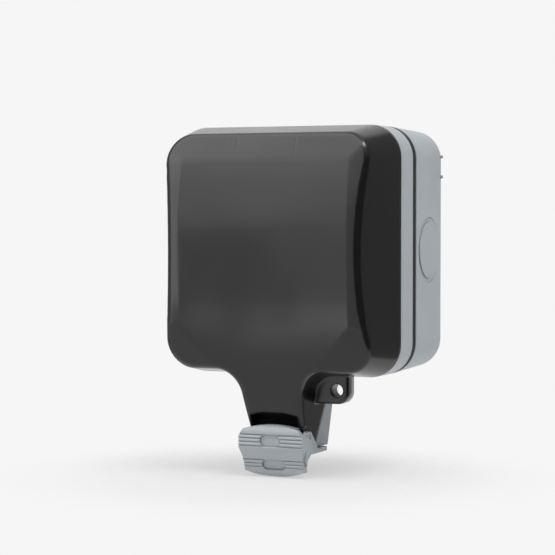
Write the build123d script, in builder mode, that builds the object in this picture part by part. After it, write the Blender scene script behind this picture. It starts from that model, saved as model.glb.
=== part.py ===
# Weatherproof outdoor socket: a drafted back box, a gasketed front frame that
# holds a switched three-pin socket, and a hinged lid with a rocker latch.
# Millimetres. X runs right, Z up, and the wall is the plane Y = 0.
# A depth is a distance in front of the wall, so it is the same as -Y.
import os
from math import atan, atan2, cos, degrees, hypot, radians, sin, sqrt

from build123d import *

os.makedirs("parts", exist_ok=True)

# Outline shared by the box, the frame and the rim of the lid
rim_width = 97.0
rim_height = 98.3
rim_radius = 13.0

# Depths of the joint faces, from the wall forward
box_rear = 2.0
box_front = 33.5
frame_rear = 37.6
frame_front = 50.0
lid_rear = 50.2
crown_depth = 75.6
crown_radius = 174.0

# Running gap between moving pieces, play round a pin that turns, and fit of fixed pieces
gap = 0.3
pin_play = 0.05
clearance = 0.4

# Length of a cut that passes right through, overshoot of a cut past a face, and
# tolerance for picking a vertex by its place
through = 20.0
over = 1.0
near = 0.01

# Back box
box_draft = 0.95
box_wall = 2.5
box_rear_round = 0.8
pad_radius = 5.5
wall_hole_x = 50.0
wall_hole_z = 60.0
wall_hole_radius = 2.4
pip_radius = 0.65
pip_root = 47.0
pip_tip = 48.35
pip_depth = 2.8
pip_heights = (37.7, 29.5)
seat_radius = 13.2
seat_island = 11.2
seat_depth = 17.75
seat_floor_inset = 0.8
knockout_radius = 10.25
knockout_groove = 0.9
knockout_web = 0.8
web_length = 16.0
web_thickness = 1.6
web_offset = 4.2
pilot_depth = 17.0
weld = 0.5

# Gasket between box and frame
gasket_inset = 0.15
gasket_width = 3.6
gasket_bevel = 0.5

# Screws that hold the frame to the box
frame_screw_x = 67.6
frame_screw_z = 69.2
frame_screw_radius = 1.5
frame_screw_head_radius = 3.2
frame_screw_head_height = 2.2
frame_screw_length = 29.5
washer_thickness = 0.8
washer_radius = 3.0
washer_bore = 1.6
cross_length = 3.6
cross_width = 0.8
cross_depth = 1.0
pillar_radius = 4.0

# Front frame
frame_wall = 4.0
deck_thickness = 2.8
well_size = 66.0
well_radius = 10.0
well_wall = 2.2
well_face = 35.2
well_floor = 1.7
weir_outer_inset = 7.3
weir_thickness = 2.0
weir_height = 3.5
counterbore_depth = 3.8
module_boss_radius = 3.2
module_boss_length = 5.0

# Hinge along the top edge of frame and lid
hinge_depth = 47.6
hinge_z = 46.9
hinge_pin_radius = 1.0
hinge_pin_length = 40.0
knuckle_radius = 2.25
knuckle_length = 28.0
knuckle_web = 0.8
knuckle_sink = 0.2
hinge_round = 2.4
hinge_block_half = 21.0
hinge_block_height = 5.0
hinge_block_depth = 8.3
notch_rear = 43.9
notch_floor = 44.2

# Neck of the lid and tongue of the frame, a tapered channel for the flex
neck_ref_z = -62.0
neck_ref_half = 13.48
neck_taper = 0.125
neck_draft = 0.0887
neck_end = -77.3
neck_gap_half = 13.0
tongue_end = -77.8
tongue_rear = 38.2
tongue_wall = 2.2
tongue_top = -46.0
channel_top = -47.5
bar_inner = 6.0
bar_outer = 10.2
bar_top = -75.6
bar_front = 48.2
bar_depth = 5.0
skirt_top = -52.5
skirt_rear = 44.3
skirt_ref_z = -61.5
skirt_slope = 0.285

# Lid
lid_wall = 2.4
side_draft = 0.208
top_draft = 0.1875
bottom_draft = 0.153
rim_waist = 0.15
waist_rate = 0.109
corner_rate = 0.09
neck_fillet = 8.5
loft_depth = 82.0
front_round = 3.0
crease_round = 20.0
front_lean = 0.7
facet_x = 36.4
facet_radius = 184.0
facet_top_z = 36.0
facet_low_x = 27.6
facet_low_z = -39.0
facet_low_run = 0.894
facet_angle = 7.0
neck_join_z = -54.5
latch_wall_rear = 54.8
latch_wall_top = -62.0
rib_top_x = 12.5
rib_thickness = 1.4
rib_rear = 56.0
rib_front = 70.0
top_rib_rear_z = 45.0
top_rib_front_z = 40.5
side_rib_rear_x = 42.0
side_rib_front_x = 36.5
ledge_rear = 53.7
ledge_thickness = 1.5
ledge_outer_inset = 2.6
seal_inner_inset = 6.8
seal_outer_inset = 4.6

# Padlock lugs
lug_right = 27.9
lug_top = -47.0
lug_bottom = -59.9
lug_corner = 4.5
lug_hole_x = 23.25
lug_hole_z = -54.5
lug_hole_radius = 2.5
lid_lug_front = 54.0
frame_lug_rear = 47.8
lid_lug_left = 12.5
frame_lug_left = 16.2
lug_round = 0.9

# Latch
latch_depth = 58.0
latch_z = -72.7
latch_pin_radius = 1.0
latch_pin_sink = 0.2
cheek_inner = 11.6
cheek_thickness = 2.0
pad_face = 66.2
pad_back = 61.2
pad_top = -68.0
pad_bottom = -88.75
pad_half = 13.7
pad_crest = 64.2
pad_crest_low = 65.7
pad_crest_mid = -69.4
pad_land = -71.4
pad_corner = (11.8, -69.6)
pad_shoulder = -72.4
pad_hip = -77.2
band_top = -76.8
band_low = -81.7
band_foot = 63.6
toe_face = 62.2
toe_top = -86.3
toe_half = 12.75
toe_hip = -81.2
toe_side = -86.5
toe_tip = ((61.2, -88.2), (59.9, -88.75), (58.8, -87.8), (59.6, -82.4), (61.2, -77.5))
rib_depth = 0.5
rib_pitch = 1.45
pad_ribs = 3
toe_ribs = 2
rib_first = -71.95
toe_rib_first = 0.5
field_depth = 0.9
upper_field = (9.0, 4.6)
upper_field_z = -74.1
lower_field = (10.0, 4.2)
wedge_inner = 10.0
wedge = ((64.6, -66.0), (64.2, -70.0), (62.3, -73.0), (60.7, -70.6), (60.7, -66.0))
cheek_front = ((60.9, -84.0), (62.2, -82.0), (62.2, -74.2), (60.5, -72.6), (60.2, -70.6))
cheek_throat = ((57.2, -70.6), (51.2, -76.9), (50.6, -78.1))
cheek_foot = ((56.9, -79.8), (60.4, -81.8))
prong_line = -70.7
prong_round = 1.2
arm_chamfer = (0.8, 0.4)
arm_top = -78.1
arm_bottom = -79.8
arm_tip = 41.4
hook_radius = 13.4
hook_inner = 6.6
hook_outer = 9.2
hook_top = -76.5
hook_front = 46.5
pocket_half = 11.25
pocket_width = 10.0
end_face = 60.0
end_top = -68.7
pocket_top = -69.2
pocket_low = -77.4
pocket_front = 57.9
pocket_rear = 49.9
scoop_half = 10.2
scoop_depth = 63.5
scoop_radius = 6.6
scoop_floor_z = -70.1
scoop_side_z = -64.9
scoop_round = 1.5
scoop_brow_depth = 61.0
scoop_top_z = -63.3

# Seals
seal_rear = 50.35
flex_depth = 49.1
flex_hole_radius = 3.5
upper_seal_width = 16.8
lower_seal_width = 18.4
cable_seal_top = -68.0
cable_seal_height = 7.2

# Socket module
plate_size = 64.0
plate_radius = 9.0
plate_thickness = 2.2
module_screw_pitch = 55.0
module_screw_radius = 1.4
module_screw_head_radius = 3.0
module_screw_head_height = 1.4
module_screw_length = 8.4
base_width = 46.8
base_top = 29.0
base_bottom = -28.6
base_rear = 14.0
base_round = 2.0
line_slot_x = 11.1
line_slot_z = -16.2
line_slot_width = 7.2
line_slot_height = 4.9
earth_slot_z = 6.0
earth_slot_width = 4.9
earth_slot_height = 8.9
shaft_long = 9.2
shaft_short = 8.8
shutter_floor = 32.3
shutter_rear = 32.4
shutter_thickness = 2.6
shutter_bar_width = 33.6
shutter_bar_height = 7.0
stem_width = 7.2
window_width = 4.4
ramp_foot_z = 2.2
ramp_depth = 1.8
switch_z = 21.5
switch_width = 20.8
switch_height = 11.8
rocker_depth = 33.4
rocker_tilt = 6.0
rocker_front = 5.4
rocker_dish = 4.4
rocker_half = 5.0
rocker_back = 0.4
rocker_back_half = 4.6
arm_x = 5.0
arm_depth = 24.4
arm_tilt = 5.0
arm_length = 10.0
arm_half_width = 1.7
arm_strip_lift = 0.85
arm_strip_thickness = 0.7
arm_back_lift = 0.2
arm_back_radius = 0.9
rivet_lift = 0.3
rivet_place = 4.2
rivet_height = 0.8
rivet_width = 1.6
switch_bay_floor = 20.0
trunnion_radius = 1.1
trunnion_reach = 12.0
tube_radius = 2.2
tube_reach = 4.6
plunger_radius = 1.45
plunger_tip = 7.5
plunger_head = 2.2
plunger_round = 0.9
spring_seat = 2.0
shutter_bay_bottom = -27.0
shutter_bay_width = 34.4
shutter_bay_height = 39.5
shutter_top = 7.9
spring_foot = -10.0
spring_length = 10.0
spring_wire = 0.18
spring_radius = 1.0
wire_sides = 6
shutter_spring_pitch = 1.7
rocker_spring_pitch = 0.75
post_width = 4.0
post_height = 1.0
post_front = 34.9
strip = 0.8
strap_front = 13.8
strap_shoulder = 14.0
strap_elbow = 12.0
strap_pad = 2.0
clip_front = 30.5
clip_gap = 2.4
clip_half = 3.0
stud_radius = 1.2
stud_z = 25.7
stud_play = 0.1
arm_stud_front = 23.6
line_stud_front = 23.8
terminal_screw_proud = 0.8
terminal_rear = 6.0
terminal_size = 7.0
terminal_screw_radius = 1.6
driver_slot_width = 0.6
driver_slot_depth = 0.7
line_terminal_x = 6.5
line_terminal_z = 27.7
wire_depth = 9.9
wire_radius = 1.7


def facing(depth):
    """Plane that faces the viewer at a depth; its axes are X and Z."""
    return Plane.XZ.offset(depth)


def side_view(x=0.0):
    """Plane seen from the left at x; its axes are depth and Z."""
    return Plane(origin=(x, 0, 0), x_dir=(0, -1, 0), z_dir=(-1, 0, 0))


def neck_half(z, depth):
    """Half width of the neck at a height and a depth."""
    return neck_ref_half + neck_taper * (z - neck_ref_z) - neck_draft * (depth - lid_rear)


def skirt_line(z):
    """Depth of the rear edge of the skirt that laps over the tongue."""
    return skirt_rear + skirt_slope * (skirt_ref_z - z)


def crown_at(z):
    """Depth of the crowned front of the lid at a height."""
    return sqrt(crown_radius**2 - z**2) - crown_radius + crown_depth


def crown_slope(z):
    """Rise of the crown in Y for each step up in Z."""
    return z / sqrt(crown_radius**2 - z**2)


def rim_sketch(depth, inset):
    """Rounded outline of the rim, moved in by an inset."""
    with BuildSketch(facing(depth)) as outline:
        RectangleRounded(rim_width - 2 * inset, rim_height - 2 * inset, rim_radius - inset)
    return outline.sketch


def neck_sketch(depth, inset, top, bottom):
    """Section of the tapered neck between two heights."""
    upper = neck_half(top, depth) - inset
    lower = neck_half(bottom, depth) - inset
    with BuildSketch(facing(depth)) as section:
        with BuildLine():
            Polyline((-upper, top), (upper, top), (lower, bottom), (-lower, bottom), close=True)
        make_face()
    return section.sketch


def lid_sketch(depth, inset, end):
    """Section of the lid and its neck, with waisted sides, moved in by an inset."""
    rise = depth - lid_rear
    half = rim_width / 2 - side_draft * rise - inset
    waist = rim_waist + waist_rate * rise
    top = rim_height / 2 - top_draft * rise - inset
    bottom = bottom_draft * rise + inset - rim_height / 2
    middle = (top + bottom) / 2
    upper = neck_half(bottom, depth) - inset
    lower = neck_half(end, depth) - inset
    with BuildSketch(facing(depth)) as section:
        with BuildLine():
            Line((-half, top), (half, top))
            ThreePointArc((half, top), (half - waist, middle), (half, bottom))
            Polyline((half, bottom), (upper, bottom), (lower, end))
            Line((lower, end), (-lower, end))
            Polyline((-lower, end), (-upper, bottom), (-half, bottom))
            ThreePointArc((-half, bottom), (waist - half, middle), (-half, top))
        make_face()
        corners = section.vertices().filter_by(lambda v: abs(v.X) > half - near)
        fillet(corners, rim_radius - corner_rate * rise - inset)
        throats = section.vertices().filter_by(
            lambda v: abs(v.Y - bottom) < near and abs(abs(v.X) - upper) < near
        )
        fillet(throats, neck_fillet + corner_rate * rise + inset)
    return section.sketch


def front_edges(part, uses):
    """Edges of the lid's front that one of its faces uses (outline) or two (creases)."""
    found = {}
    for face in part.faces():
        if face.normal_at().Y < -front_lean and face.center().Y < -latch_depth:
            for edge in face.edges():
                place = tuple(round(value, 2) for value in edge.center())
                found.setdefault(place, []).append(edge)
    picked = [edges[0] for edges in found.values() if len(edges) == uses]
    return [edge for edge in picked if edge.center().Z > neck_end + weld]


def lug_sketch(depth, left):
    """Padlock lug with its hole, from an inner edge to the rounded outer corner."""
    with BuildSketch(facing(depth)) as outline:
        with BuildLine():
            Polyline(
                (left, lug_top),
                (left, lug_bottom),
                (lug_right, lug_bottom),
                (lug_right, lug_top),
                close=True,
            )
        make_face()
        right_side = outline.vertices().group_by(Axis.X)[-1]
        fillet(right_side.sort_by(Axis.Y)[0], lug_corner)
        with Locations((lug_hole_x, lug_hole_z)):
            Circle(lug_hole_radius, mode=Mode.SUBTRACT)
    return outline.sketch


def cheek_sketch(x):
    """Side of the latch: a rounded prong round the pin, a sloping throat and the arm."""
    with BuildSketch(side_view(x)) as outline:
        with BuildLine():
            Polyline(
                *cheek_front,
                *cheek_throat,
                (arm_tip, arm_top),
                (arm_tip, arm_bottom + arm_chamfer[1]),
                (arm_tip + arm_chamfer[0], arm_bottom),
                *cheek_foot,
                close=True,
            )
        make_face()
        prong = outline.vertices().filter_by(lambda v: v.Y > prong_line)
        fillet(prong, prong_round)
    return outline.sketch


# Back box: drafted tray with stand-off pads, knock-out seats and screw pillars
box_floor = box_rear + box_wall
with BuildPart() as back_box:
    loft([rim_sketch(box_rear, box_draft), rim_sketch(box_front, 0)], ruled=True)
    fillet(back_box.faces().sort_by(Axis.Y)[-1].edges(), box_rear_round)
    floor_outline = rim_sketch(box_floor, box_draft + box_wall)
    mouth_outline = rim_sketch(box_front, box_wall)
    loft([floor_outline, mouth_outline], ruled=True, mode=Mode.SUBTRACT)
    with BuildSketch(facing(box_floor - weld)):
        with GridLocations(frame_screw_x, frame_screw_z, 2, 2):
            Circle(pillar_radius)
        for sx in (-1, 1):
            for sz in (-1, 1):
                turn = degrees(atan(1)) * sx * sz
                web_x = sx * (frame_screw_x / 2 + web_offset)
                web_z = sz * (frame_screw_z / 2 + web_offset)
                with Locations(Location((web_x, web_z, 0), (0, 0, turn))):
                    Rectangle(web_length, web_thickness)
    extrude(amount=box_front - box_floor + weld)
    with BuildSketch(facing(0)):
        with GridLocations(wall_hole_x, wall_hole_z, 2, 2):
            Circle(pad_radius)
    extrude(amount=box_rear + weld)
    # Sighting pips on the side walls, at their rear edge
    for sign in (-1, 1):
        for height in pip_heights:
            foot = Plane((sign * pip_root, -pip_depth, height), z_dir=(sign, 0, 0))
            with BuildSketch(foot):
                Circle(pip_radius)
            extrude(amount=pip_tip - pip_root)
    with BuildSketch(facing(0)):
        with GridLocations(wall_hole_x, wall_hole_z, 2, 2):
            Circle(wall_hole_radius)
    extrude(amount=box_floor + weld, mode=Mode.SUBTRACT)
    with BuildSketch(facing(box_front)):
        with GridLocations(frame_screw_x, frame_screw_z, 2, 2):
            Circle(frame_screw_radius)
    extrude(amount=-pilot_depth, mode=Mode.SUBTRACT)
    # Seats and thin-webbed rings of the conduit knock-outs on the four sides
    seats = (
        ((1, 0, 0), rim_width / 2),
        ((-1, 0, 0), rim_width / 2),
        ((0, 0, 1), rim_height / 2),
        ((0, 0, -1), rim_height / 2),
    )
    for direction, reach in seats:
        floor = reach - seat_floor_inset
        centre = Vector(0, -seat_depth, 0)
        with BuildSketch(Plane(centre + Vector(direction) * floor, z_dir=direction)):
            Circle(seat_radius)
            Circle(seat_island, mode=Mode.SUBTRACT)
        extrude(amount=box_wall, mode=Mode.SUBTRACT)
        web = floor - knockout_web
        with BuildSketch(Plane(centre + Vector(direction) * web, z_dir=direction)):
            Circle(knockout_radius)
            Circle(knockout_radius - knockout_groove, mode=Mode.SUBTRACT)
        extrude(amount=-2 * box_wall, mode=Mode.SUBTRACT)
    with BuildSketch(facing(box_rear)):
        Circle(knockout_radius)
        Circle(knockout_radius - knockout_groove, mode=Mode.SUBTRACT)
    extrude(amount=box_wall - knockout_web, mode=Mode.SUBTRACT)
back_box.part.label = "back_box"
export_step(back_box.part, "parts/back_box.step")

# Box gasket: rubber bead between the box and the frame
with BuildPart() as box_gasket:
    bead_rear = rim_sketch(box_front, gasket_inset + gasket_bevel)
    belt_rear = rim_sketch(box_front + gasket_bevel, gasket_inset)
    belt_front = rim_sketch(frame_rear - gasket_bevel, gasket_inset)
    bead_front = rim_sketch(frame_rear, gasket_inset + gasket_bevel)
    loft([bead_rear, belt_rear], ruled=True)
    loft([belt_rear, belt_front], ruled=True)
    loft([belt_front, bead_front], ruled=True)
    inside = rim_sketch(box_front, gasket_inset + gasket_width)
    extrude(inside, amount=frame_rear - box_front, mode=Mode.SUBTRACT)
box_gasket.part.label = "box_gasket"
export_step(box_gasket.part, "parts/box_gasket.step")

# Tongue of the frame: rear half of the flex channel, with the two catch bars
with BuildPart() as tongue:
    rear_outline = neck_sketch(tongue_rear, 0, tongue_top, tongue_end)
    front_outline = neck_sketch(lid_rear, 0, tongue_top, tongue_end)
    loft([rear_outline, front_outline], ruled=True)
    rear_channel = neck_sketch(tongue_rear + tongue_wall, tongue_wall, channel_top, tongue_end - over)
    front_channel = neck_sketch(lid_rear, tongue_wall, channel_top, tongue_end - over)
    loft([rear_channel, front_channel], ruled=True, mode=Mode.SUBTRACT)
    with BuildSketch(side_view()):
        with BuildLine():
            Polyline(
                (skirt_line(tongue_top) - gap, tongue_top),
                (skirt_line(tongue_end - over) - gap, tongue_end - over),
                (lid_rear + over, tongue_end - over),
                (lid_rear + over, tongue_top),
                close=True,
            )
        make_face()
    extrude(amount=rim_width / 2, both=True, mode=Mode.SUBTRACT)
    for x in (bar_outer, -bar_inner):
        with BuildSketch(side_view(x)):
            with Locations((bar_front, tongue_end)):
                Rectangle(bar_depth, bar_top - tongue_end, align=(Align.MAX, Align.MIN))
            with Locations((latch_depth, latch_z)):
                Circle(hook_radius - gap / 2, mode=Mode.INTERSECT)
        extrude(amount=bar_outer - bar_inner)

# Front frame: gasketed ring with deck, weir, socket well, tongue, lug and hinge ears
well_rear = well_face - well_floor
notch_half = knuckle_length / 2 + clearance
with BuildPart() as front_frame:
    extrude(rim_sketch(frame_rear, 0), amount=frame_front - frame_rear)
    under_deck = frame_front - deck_thickness - frame_rear
    extrude(rim_sketch(frame_rear, frame_wall), amount=under_deck, mode=Mode.SUBTRACT)
    # Weir that keeps driven rain off the well, open at the bottom for the flex
    weir_outside = rim_sketch(frame_front - deck_thickness, weir_outer_inset)
    extrude(weir_outside, amount=weir_height + deck_thickness)
    weir_inside = rim_sketch(frame_front, weir_outer_inset + weir_thickness)
    extrude(weir_inside, amount=weir_height, mode=Mode.SUBTRACT)
    with BuildSketch(facing(frame_front)):
        with Locations((0, -rim_height / 2)):
            Rectangle(2 * neck_gap_half, through)
    extrude(amount=weir_height, mode=Mode.SUBTRACT)
    # Well that holds the socket module
    with BuildSketch(facing(well_rear)):
        RectangleRounded(
            well_size + 2 * well_wall, well_size + 2 * well_wall, well_radius + well_wall
        )
    extrude(amount=frame_front - well_rear)
    with BuildSketch(facing(well_face)):
        RectangleRounded(well_size, well_size, well_radius)
    extrude(amount=frame_front - well_face, mode=Mode.SUBTRACT)
    # Bosses for the frame screws and for the screws of the socket module
    with BuildSketch(facing(box_front)):
        with GridLocations(frame_screw_x, frame_screw_z, 2, 2):
            Circle(pillar_radius)
    extrude(amount=frame_front - box_front - weld)
    with BuildSketch(facing(well_rear - module_boss_length)):
        with GridLocations(module_screw_pitch, module_screw_pitch, 2, 2):
            Circle(module_boss_radius)
    extrude(amount=module_boss_length + well_floor / 2)
    with BuildSketch(facing(well_rear)):
        with Locations((0, (base_top + base_bottom) / 2)):
            Rectangle(base_width + 2 * clearance, base_top - base_bottom + 2 * clearance)
    extrude(amount=well_floor, mode=Mode.SUBTRACT)
    with BuildSketch(facing(well_rear - module_boss_length)):
        with GridLocations(module_screw_pitch, module_screw_pitch, 2, 2):
            Circle(module_screw_radius)
    extrude(amount=well_floor + module_boss_length, mode=Mode.SUBTRACT)
    with BuildSketch(facing(box_front)):
        with GridLocations(frame_screw_x, frame_screw_z, 2, 2):
            Circle(frame_screw_radius + gap)
    extrude(amount=frame_front - box_front, mode=Mode.SUBTRACT)
    with BuildSketch(facing(frame_front - counterbore_depth)):
        with GridLocations(frame_screw_x, frame_screw_z, 2, 2):
            Circle(frame_screw_head_radius + gap)
    extrude(amount=counterbore_depth, mode=Mode.SUBTRACT)
    # Hinge block behind the top edge, with a notch for the knuckle of the lid
    with BuildSketch(side_view(hinge_block_half)):
        with Locations((frame_front, rim_height / 2 - frame_wall / 2)):
            Rectangle(hinge_block_depth, hinge_block_height, align=(Align.MAX, Align.MAX))
    extrude(amount=2 * hinge_block_half)
    with BuildSketch(side_view()):
        with Locations((hinge_depth, hinge_z)):
            Rectangle(through, through, align=(Align.MIN, Align.MIN))
            Circle(hinge_round, mode=Mode.SUBTRACT)
    extrude(amount=rim_width, both=True, mode=Mode.SUBTRACT)
    with BuildSketch(side_view()):
        with Locations((notch_rear, notch_floor)):
            Rectangle(through, through, align=(Align.MIN, Align.MIN))
    extrude(amount=notch_half, both=True, mode=Mode.SUBTRACT)
    with BuildSketch(side_view()):
        with Locations((hinge_depth, hinge_z)):
            Circle(hinge_pin_radius)
    extrude(amount=hinge_pin_length / 2, both=True, mode=Mode.SUBTRACT)
    add(tongue.part)
    extrude(lug_sketch(frame_lug_rear, frame_lug_left), amount=frame_front - frame_lug_rear)
front_frame.part.label = "front_frame"
export_step(front_frame.part, "parts/front_frame.step")

# Blank of the lid: lofted between rim and front, cut to the crowned front
crown_axis_y = crown_radius - crown_depth
with BuildPart() as lid_blank:
    loft([lid_sketch(lid_rear, 0, neck_end), lid_sketch(loft_depth, 0, neck_end)], ruled=True)
    with Locations((0, crown_axis_y, 0)):
        Cylinder(crown_radius, 2 * rim_width, rotation=(0, 90, 0), mode=Mode.INTERSECT)

# Neck of the lid, which keeps the plain crown
with BuildPart() as neck_blank:
    add(lid_blank.part)
    with Locations((0, -lid_rear, neck_join_z)):
        Box(
            rim_width,
            2 * loft_depth,
            rim_height,
            align=(Align.CENTER, Align.CENTER, Align.MAX),
            mode=Mode.INTERSECT,
        )

# Hollow of the lid, less the ribs that stiffen its walls
with BuildPart() as lid_hollow:
    rim_inside = lid_sketch(lid_rear, lid_wall, neck_end - 3 * over)
    front_inside = lid_sketch(loft_depth, lid_wall, neck_end - 3 * over)
    loft([rim_inside, front_inside], ruled=True)
    with Locations((0, crown_axis_y, 0)):
        Cylinder(crown_radius - lid_wall, 2 * rim_width, rotation=(0, 90, 0), mode=Mode.INTERSECT)
    # The latch end of the neck stays thick in front of the flex
    with Locations((0, -latch_wall_rear, latch_wall_top)):
        Box(
            rim_width,
            rim_width,
            rim_height,
            align=(Align.CENTER, Align.MAX, Align.MAX),
            mode=Mode.SUBTRACT,
        )
    # Ribs beside the hinge and at half height
    for sign in (-1, 1):
        with BuildSketch(side_view(sign * rib_top_x)):
            with BuildLine():
                Polyline(
                    (rib_rear, top_rib_rear_z),
                    (rib_front, top_rib_front_z),
                    (rib_front, rim_height),
                    (rib_rear, rim_height),
                    close=True,
                )
            make_face()
        extrude(amount=rib_thickness / 2, both=True, mode=Mode.SUBTRACT)
        with BuildSketch(Plane.XY):
            with BuildLine():
                Polyline(
                    (sign * side_rib_rear_x, -rib_rear),
                    (sign * side_rib_front_x, -rib_front),
                    (sign * rim_width, -rib_front),
                    (sign * rim_width, -rib_rear),
                    close=True,
                )
            make_face()
        extrude(amount=rib_thickness / 2, both=True, mode=Mode.SUBTRACT)

# Facets of the panel: the crown turned about the edges of the panel, and at the sides a
# flatter crown, so that their creases bow out at half height
crown = Pos(0, crown_axis_y, 0) * Cylinder(crown_radius, 4 * rim_width, rotation=(0, 90, 0))
facets = [crown.rotate(Axis((0, -crown_at(facet_top_z), facet_top_z), (1, 0, 0)), -facet_angle)]
side_axis_y = facet_radius - crown_depth
side_crown = Pos(0, side_axis_y, 0) * Cylinder(facet_radius, 4 * rim_width, rotation=(0, 90, 0))
for sign in (-1, 1):
    side = Axis((sign * facet_x, -crown_depth, 0), (0, 0, 1))
    facets.append(side_crown.rotate(side, sign * facet_angle))
    lower = Axis(
        (sign * facet_low_x, -crown_at(facet_low_z), facet_low_z),
        (sign * facet_low_run, crown_slope(facet_low_z), 1),
    )
    facets.append(crown.rotate(lower, sign * facet_angle))

# Shell of the lid: faceted panel and plain neck, with soft creases and a rounded front edge
with BuildPart() as lid_shell:
    add(lid_blank.part)
    with Locations((0, -lid_rear, neck_join_z)):
        Box(
            2 * rim_width,
            2 * loft_depth,
            rim_height,
            align=(Align.CENTER, Align.CENTER, Align.MAX),
            mode=Mode.SUBTRACT,
        )
    for facet in facets:
        add(facet, mode=Mode.INTERSECT)
    add(neck_blank.part)
    fillet(front_edges(lid_shell.part, 2), crease_round)
    fillet(front_edges(lid_shell.part, 1), front_round)

# Lug of the lid, for a padlock
with BuildPart() as lid_lug:
    extrude(lug_sketch(lid_rear, lid_lug_left), amount=lid_lug_front - lid_rear)
    lug_front = lid_lug.faces().sort_by(Axis.Y)[0]
    fillet(lug_front.outer_wire().edges(), lug_round)

# Skirt: the side walls of the neck that lap back over the tongue
with BuildPart() as skirt:
    rear_outline = neck_sketch(tongue_rear, 0, skirt_top, neck_end)
    front_outline = neck_sketch(lid_rear, 0, skirt_top, neck_end)
    loft([rear_outline, front_outline], ruled=True)
    rear_channel = neck_sketch(tongue_rear, lid_wall, skirt_top + over, neck_end - over)
    front_channel = neck_sketch(lid_rear, lid_wall, skirt_top + over, neck_end - over)
    loft([rear_channel, front_channel], ruled=True, mode=Mode.SUBTRACT)
    with BuildSketch(side_view()):
        with BuildLine():
            Polyline(
                (skirt_line(skirt_top + over), skirt_top + over),
                (skirt_line(neck_end - over), neck_end - over),
                (0, neck_end - over),
                (0, skirt_top + over),
                close=True,
            )
        make_face()
    extrude(amount=rim_width / 2, both=True, mode=Mode.SUBTRACT)

# Ledge inside the lid that carries its seal, open at the neck
with BuildPart() as seal_ledge:
    extrude(rim_sketch(ledge_rear, ledge_outer_inset), amount=ledge_thickness)
    ledge_inside = rim_sketch(ledge_rear, seal_inner_inset)
    extrude(ledge_inside, amount=ledge_thickness, mode=Mode.SUBTRACT)
    with BuildSketch(facing(ledge_rear)):
        with Locations((0, -rim_height / 2)):
            Rectangle(2 * neck_gap_half, through)
    extrude(amount=ledge_thickness, mode=Mode.SUBTRACT)

# Scoop that lets a fingertip press the top of the latch pad
with BuildPart() as scoop:
    with BuildSketch(facing(latch_wall_rear)):
        with BuildLine():
            ThreePointArc((-scoop_half, scoop_side_z), (0, scoop_top_z), (scoop_half, scoop_side_z))
            Polyline(
                (scoop_half, scoop_side_z),
                (scoop_half, scoop_floor_z),
                (-scoop_half, scoop_floor_z),
                (-scoop_half, scoop_side_z),
            )
        make_face()
    extrude(amount=through)
    with Locations((0, -scoop_depth, scoop_floor_z)):
        Cylinder(scoop_radius, rim_width, rotation=(0, 90, 0), mode=Mode.INTERSECT)

with BuildPart() as lid:
    add(lid_shell.part)
    # Padlock lug, hollow, skirt over the tongue, hinge knuckle and seal ledge
    add(lid_lug.part)
    add(lid_hollow.part, mode=Mode.SUBTRACT)
    add(skirt.part)
    add(seal_ledge.part)
    with BuildSketch(side_view()):
        with BuildLine():
            Polyline(
                (hinge_depth, rim_height / 2),
                (lid_rear, rim_height / 2),
                (lid_rear + knuckle_web, rim_height / 2 - knuckle_sink),
                (lid_rear + knuckle_web, hinge_z),
                (hinge_depth, hinge_z),
                close=True,
            )
        make_face()
        with Locations((hinge_depth, hinge_z)):
            Circle(knuckle_radius)
    extrude(amount=knuckle_length / 2, both=True)
    with BuildSketch(side_view()):
        with Locations((hinge_depth, hinge_z)):
            Circle(hinge_pin_radius + pin_play)
    extrude(amount=knuckle_length, both=True, mode=Mode.SUBTRACT)
    # Finger scoop above the latch, flat end behind its pad, and pockets for its cheeks
    add(scoop.part, mode=Mode.SUBTRACT)
    brow = lid.edges().filter_by(
        lambda edge: scoop_side_z < edge.center().Z < scoop_top_z and -edge.center().Y > scoop_brow_depth
    )
    fillet(brow, scoop_round)
    with Locations((0, -end_face, end_top)):
        Box(
            rim_width,
            rim_width,
            rim_height,
            align=(Align.CENTER, Align.MAX, Align.MAX),
            mode=Mode.SUBTRACT,
        )
    for sign in (-1, 1):
        with BuildSketch(side_view(sign * (pocket_half + pocket_width / 2))):
            with BuildLine():
                Polyline(
                    (crown_depth, pocket_top),
                    (pocket_front, pocket_top),
                    (pocket_rear, pocket_low),
                    (crown_depth, pocket_low),
                    close=True,
                )
            make_face()
        extrude(amount=pocket_width / 2, both=True, mode=Mode.SUBTRACT)
    with BuildSketch(side_view()):
        with Locations((latch_depth, latch_z)):
            Circle(latch_pin_radius)
    extrude(amount=rim_width / 2, both=True, mode=Mode.SUBTRACT)
lid.part.label = "lid"
export_step(lid.part, "parts/lid.step")

# Lid seal: rubber strip on the ledge of the lid, round the weir
with BuildPart() as lid_seal:
    extrude(rim_sketch(seal_rear, seal_outer_inset), amount=ledge_rear - seal_rear)
    seal_inside = rim_sketch(seal_rear, seal_inner_inset)
    extrude(seal_inside, amount=ledge_rear - seal_rear, mode=Mode.SUBTRACT)
    with BuildSketch(facing(seal_rear)):
        with Locations((0, -rim_height / 2)):
            Rectangle(2 * neck_gap_half, through)
    extrude(amount=ledge_rear - seal_rear, mode=Mode.SUBTRACT)
lid_seal.part.label = "lid_seal"
export_step(lid_seal.part, "parts/lid_seal.step")

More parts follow.
